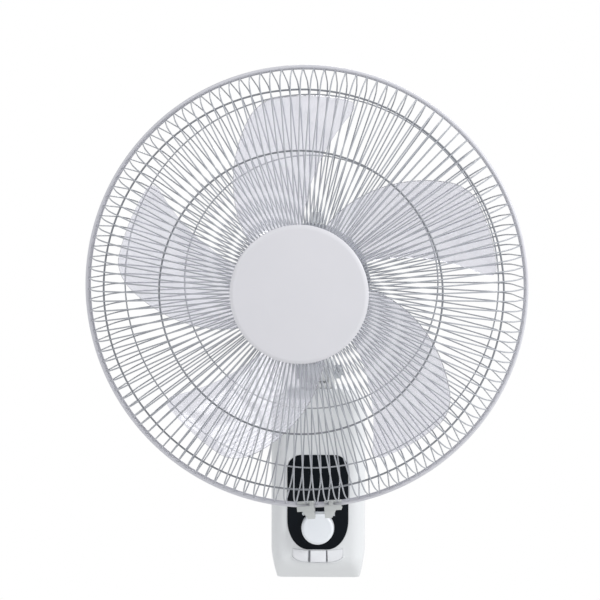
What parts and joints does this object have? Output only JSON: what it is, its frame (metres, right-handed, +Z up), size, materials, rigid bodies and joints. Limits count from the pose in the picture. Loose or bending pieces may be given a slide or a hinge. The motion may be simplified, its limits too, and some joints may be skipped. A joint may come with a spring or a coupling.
{
  "type": "wall mounted fan",
  "caption": "Wall mounted swinging fan: a wire-guarded bladed head on a tilting neck, above a slim wall housing with a dark panel, a rotary knob and push keys.",
  "frame": {"origin": "centre of the wall plate's back face, on the wall", "axes": "+X to the viewer's right, +Y into the wall, +Z up"},
  "size_m": [0.4437, 0.3408, 0.5433],
  "materials": {
    "white_plastic": "satin moulded ABS",
    "grey_plastic": "satin moulded ABS, light grey",
    "clamp_plastic": "matte moulded nylon",
    "panel_plastic": "gloss black panel",
    "fan_resin": "translucent pale blue-grey resin",
    "coated_wire": "powder-coated steel wire",
    "zinc_steel": "zinc-plated steel",
    "die_cast": "as-cast alloy",
    "lamination": "laminated core",
    "copper_wire": "enamelled copper winding",
    "dark_plastic": "matte moulded plastic",
    "black_rubber": "matte rubber"
  },
  "bodies": {
    "wall_body": {"wall_plate": "zinc_steel", "rear_housing": "white_plastic", "front_housing": "white_plastic", "control_panel": "panel_plastic", "switch_block": "dark_plastic", "timer_unit": "dark_plastic", "run_capacitor": "dark_plastic", "terminal_block": "dark_plastic", "cord_bush": "black_rubber", "tilt_fork": "white_plastic", "tilt_bolt": "zinc_steel", "tilt_nut": "zinc_steel", "housing_screw_1": "zinc_steel", "housing_screw_2": "zinc_steel"},
    "neck_body": {"neck": "white_plastic", "link_pin": "zinc_steel"},
    "link_body": {"swing_link": "zinc_steel"},
    "head_body": {"gearbox": "dark_plastic", "swing_spindle": "zinc_steel", "front_end_shield": "die_cast", "rear_end_shield": "die_cast", "stator_core": "lamination", "front_winding": "copper_wire", "rear_winding": "copper_wire", "front_bearing": "zinc_steel", "rear_bearing": "zinc_steel", "motor_front_cover": "white_plastic", "motor_rear_cover": "white_plastic", "cover_screw": "zinc_steel", "rear_guard": "coated_wire", "rear_guard_outer_ring": "coated_wire", "rear_guard_inner_ring": "coated_wire", "rear_guard_plate": "coated_wire", "guard_nut": "grey_plastic", "front_guard": "coated_wire", "front_guard_outer_ring": "coated_wire", "front_guard_inner_ring": "coated_wire", "guard_badge": "grey_plastic", "badge_retainer": "dark_plastic", "guard_clamp_left": "clamp_plastic", "guard_clamp_right": "clamp_plastic", "clamp_screw": "zinc_steel", "clamp_nut": "zinc_steel"},
    "crank_body": {"swing_crank": "zinc_steel"},
    "clutch_body": {"clutch_knob": "white_plastic"},
    "fan_body": {"impeller": "fan_resin", "blade_nut": "grey_plastic", "rotor_shaft": "zinc_steel", "rotor_core": "lamination", "drive_pin": "zinc_steel"},
    "knob_body": {"control_knob": "grey_plastic", "knob_shaft": "zinc_steel"},
    "key_body_1": {"speed_key_1": "grey_plastic"},
    "key_body_2": {"speed_key_2": "grey_plastic"},
    "key_body_3": {"speed_key_3": "grey_plastic"}
  },
  "joints": [
    {"name": "tilt", "type": "hinge", "parent": "wall_body", "child": "neck_body", "pos_m": [0, -0.106, 0.122], "axis": [1, 0, 0], "range_deg": [-15.6, 19.4]},
    {"name": "swing", "type": "hinge", "parent": "neck_body", "child": "head_body", "pos_m": [0, -0.11615, 0.2255], "axis": [0, -0.0976, 0.9952], "range_deg": [-36.8, 43.2]},
    {"name": "crank_turn", "type": "hinge", "parent": "head_body", "child": "crank_body", "pos_m": [-0.00988, -0.12725, 0.1802], "axis": [0, -0.0976, 0.9952], "range_deg": [-98, 84]},
    {"name": "link_turn", "type": "hinge", "parent": "neck_body", "child": "link_body", "pos_m": [-0.013, -0.11156, 0.17873], "axis": [0, -0.0976, 0.9952], "range_deg": [-37.5, 44]},
    {"name": "clutch", "type": "slide", "parent": "head_body", "child": "clutch_body", "axis": [0, -0.0976, 0.9952], "range_m": [0, 0.006]},
    {"name": "fan_spin", "type": "hinge", "parent": "head_body", "child": "fan_body", "pos_m": [-0.00837, -0.2652, 0.21089], "axis": [-0.0558, -0.9937, -0.0974], "continuous": true},
    {"name": "knob_turn", "type": "hinge", "parent": "wall_body", "child": "knob_body", "pos_m": [0, -0.095, -0.048], "axis": [0, 1, 0], "range_deg": [0, 300]},
    {"name": "key_press_1", "type": "slide", "parent": "wall_body", "child": "key_body_1", "axis": [0, 1, 0], "range_m": [0, 0.0035], "stiffness_N_per_m": 300},
    {"name": "key_press_2", "type": "slide", "parent": "wall_body", "child": "key_body_2", "axis": [0, 1, 0], "range_m": [0, 0.0035], "stiffness_N_per_m": 300},
    {"name": "key_press_3", "type": "slide", "parent": "wall_body", "child": "key_body_3", "axis": [0, 1, 0], "range_m": [0, 0.0035], "stiffness_N_per_m": 300}
  ],
  "couplings": [
    {"joint": "crank_turn", "follows": "swing", "ratio": -2.25},
    {"joint": "link_turn", "follows": "swing", "ratio": 1}
  ]
}
